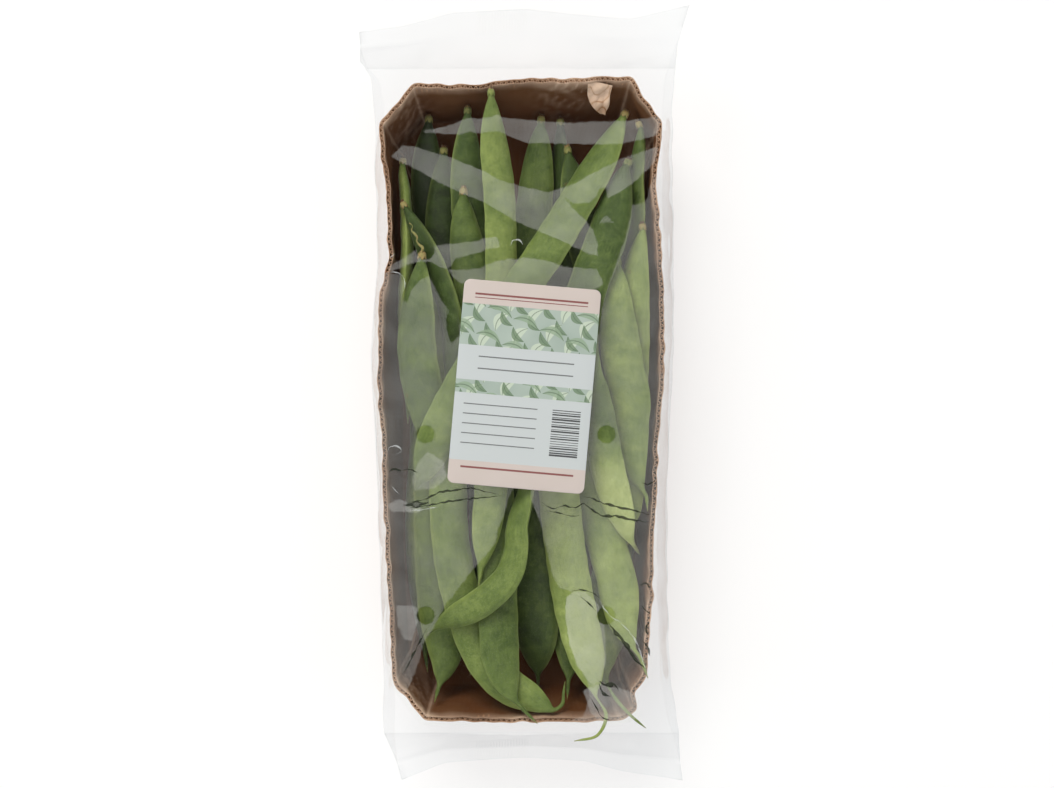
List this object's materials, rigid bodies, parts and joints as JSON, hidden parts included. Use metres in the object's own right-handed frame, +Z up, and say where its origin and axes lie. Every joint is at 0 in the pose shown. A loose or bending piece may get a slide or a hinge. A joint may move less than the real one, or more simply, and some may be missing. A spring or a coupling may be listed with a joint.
{
  "type": "film-wrapped tray of flat green beans",
  "caption": "Shop pack of flat green beans laid lengthwise in a corrugated board tray, sealed in a clear film sleeve with air holes, crimped ends and a plain label.",
  "frame": {"origin": "middle of the film sleeve's box, on the flat underside that the pack lies on", "axes": "+Y along the pods from their tips to their stems, +X across the tray, +Z up out of the open side of the tray"},
  "size_m": [0.156, 0.367, 0.048],
  "materials": {
    "bean_skin": "fresh pod skin, satin, finely downy",
    "kraft_board": "unbleached kraft liner over fine fluting, matt",
    "clear_film": "clear stretched film, glossy, slightly milky where it is slack",
    "label_paper": null
  },
  "bodies": {
    "root": {"bean_01": "bean_skin", "bean_02": "bean_skin", "bean_03": "bean_skin", "bean_04": "bean_skin", "bean_05": "bean_skin", "bean_06": "bean_skin", "bean_07": "bean_skin", "bean_08": "bean_skin", "bean_09": "bean_skin", "bean_10": "bean_skin", "bean_11": "bean_skin", "bean_12": "bean_skin", "bean_13": "bean_skin", "bean_14": "bean_skin", "bean_15": "bean_skin", "bean_16": "bean_skin", "bean_17": "bean_skin", "bean_18": "bean_skin", "bean_19": "bean_skin", "bean_20": "bean_skin", "bean_21": "bean_skin", "bean_22": "bean_skin", "bean_23": "bean_skin", "bean_24": "bean_skin", "bean_25": "bean_skin", "bean_26": "bean_skin", "bean_27": "bean_skin", "cardboard_tray": "kraft_board", "film_sleeve": "clear_film", "label": "label_paper"}
  },
  "joints": []
}
